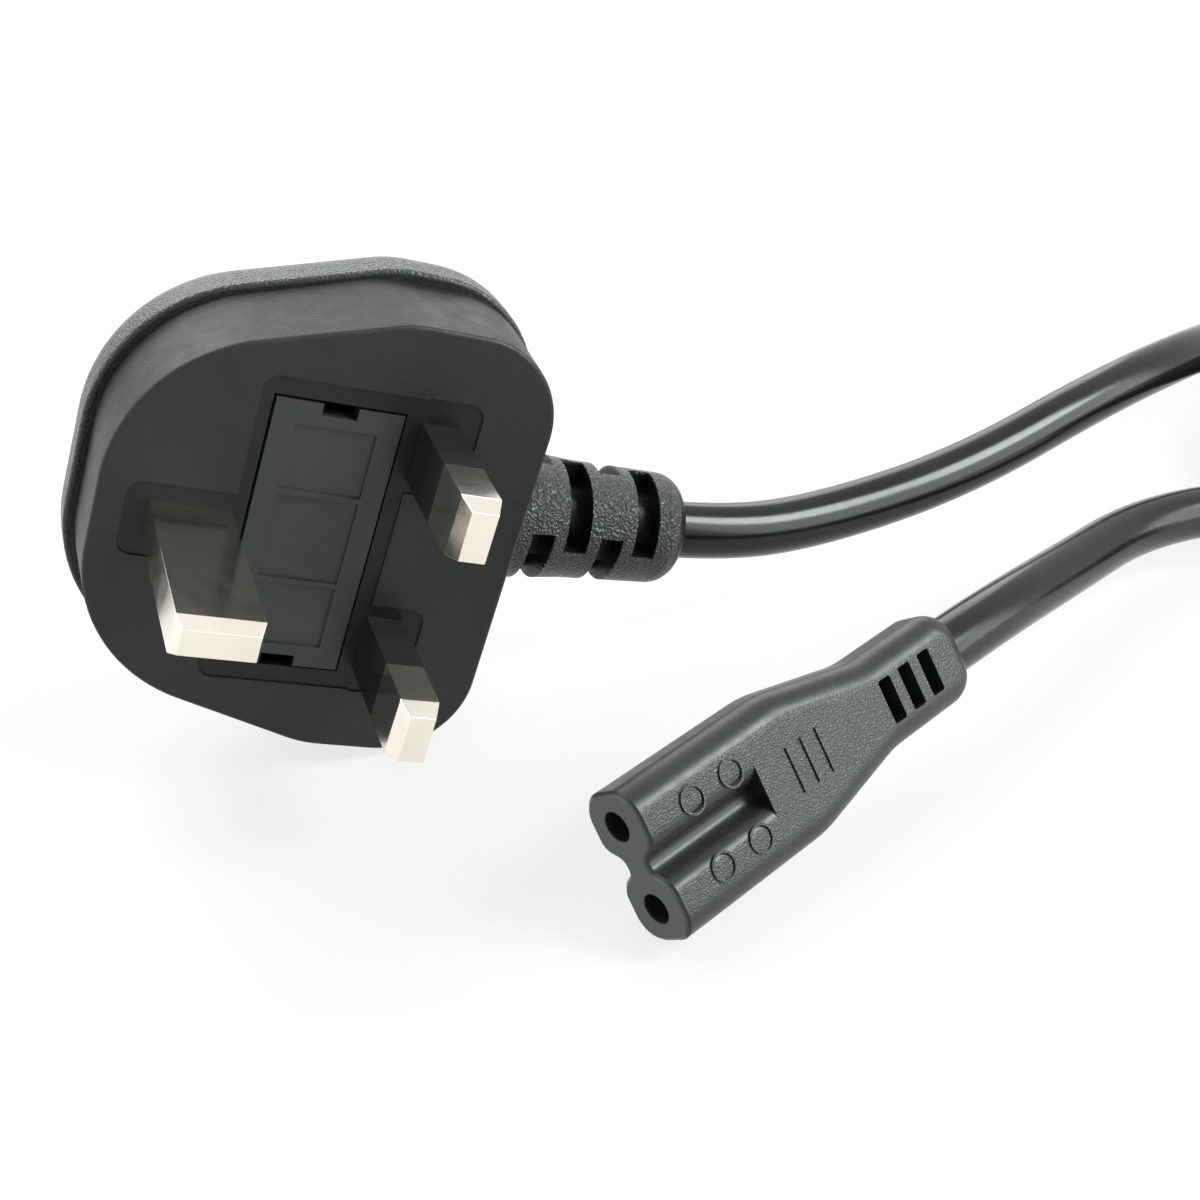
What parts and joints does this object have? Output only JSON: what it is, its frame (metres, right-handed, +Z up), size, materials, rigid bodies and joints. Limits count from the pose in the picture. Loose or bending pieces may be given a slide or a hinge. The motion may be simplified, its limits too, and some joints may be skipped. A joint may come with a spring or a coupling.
{
  "type": "figure eight power connector",
  "caption": "Mains lead with a fused three-pin plug, a round two-core cord and a figure eight connector.",
  "frame": {"origin": "bottom centre of the box round the plug and the connector, on the surface they lie on", "axes": "+X to the right along the plug's tail, +Y away from the viewer, +Z up"},
  "size_m": [0.2336, 0.154, 0.0517],
  "materials": {
    "black_moulding": "fine grained moulded PVC",
    "black_bridge": "satin hard plastic",
    "drawer_plastic": "satin hard plastic",
    "nickel": "bright nickel plate",
    "sleeve": "glossy",
    "brass": "plain",
    "ceramic": "glazed ceramic",
    "blue_insulation": "smooth",
    "brown_insulation": "smooth",
    "cord_jacket": "glossy round PVC jacket",
    "tie": "woven strap"
  },
  "bodies": {
    "lead": {"plug_body": "black_moulding", "pin_bridge": "black_bridge", "line_pin": "nickel", "neutral_pin": "nickel", "earth_pin": "nickel", "line_pin_sleeve": "sleeve", "neutral_pin_sleeve": "sleeve", "line_fuse_clip": "brass", "supply_fuse_clip": "brass", "neutral_crimp": "brass", "supply_crimp": "brass", "blue_core": "blue_insulation", "brown_core": "brown_insulation", "connector_body": "black_moulding", "contact_carrier": "drawer_plastic", "contact_upper": "brass", "contact_lower": "brass", "brown_core_end": "brown_insulation", "blue_core_end": "blue_insulation", "cord_from_plug": "cord_jacket", "cord_from_connector": "cord_jacket", "cord_coil": "cord_jacket", "cord_tie": "tie"},
    "fuse_drawer": {"fuse_carrier": "drawer_plastic", "fuse_cap_supply": "nickel", "fuse_cap_line": "nickel", "fuse_barrel": "ceramic", "fuse_wire": "brass"}
  },
  "joints": [
    {"name": "fuse_drawer_slide", "type": "slide", "parent": "lead", "child": "fuse_drawer", "axis": [0.3137, -0.949, -0.0318], "range_m": [0, 0.011]}
  ]
}
